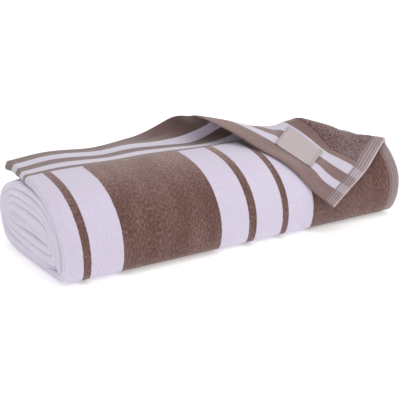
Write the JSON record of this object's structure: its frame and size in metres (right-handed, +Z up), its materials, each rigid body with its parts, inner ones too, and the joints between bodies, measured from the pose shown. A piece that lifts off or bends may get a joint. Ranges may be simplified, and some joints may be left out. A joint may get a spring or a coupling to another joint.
{
  "type": "beach towel",
  "caption": "Striped cotton beach towel, folded in half along its length and wound into a soft flattened roll, its loose end with a flat woven border on top and one corner turned forward",
  "frame": {"origin": "centre of the bounding box's base, on the floor", "axes": "X runs along the roll with the lengthwise fold at the -X end and the side hems at the +X end; -Y is the front, where the turned corner hangs; +Z is up"},
  "size_m": [0.4096, 0.179, 0.117],
  "materials": {
    "terry": "cotton terry, brown and white stripes",
    "label_satin": "smooth woven satin"
  },
  "bodies": {
    "root": {"towel": "terry", "label": "label_satin"}
  },
  "joints": []
}
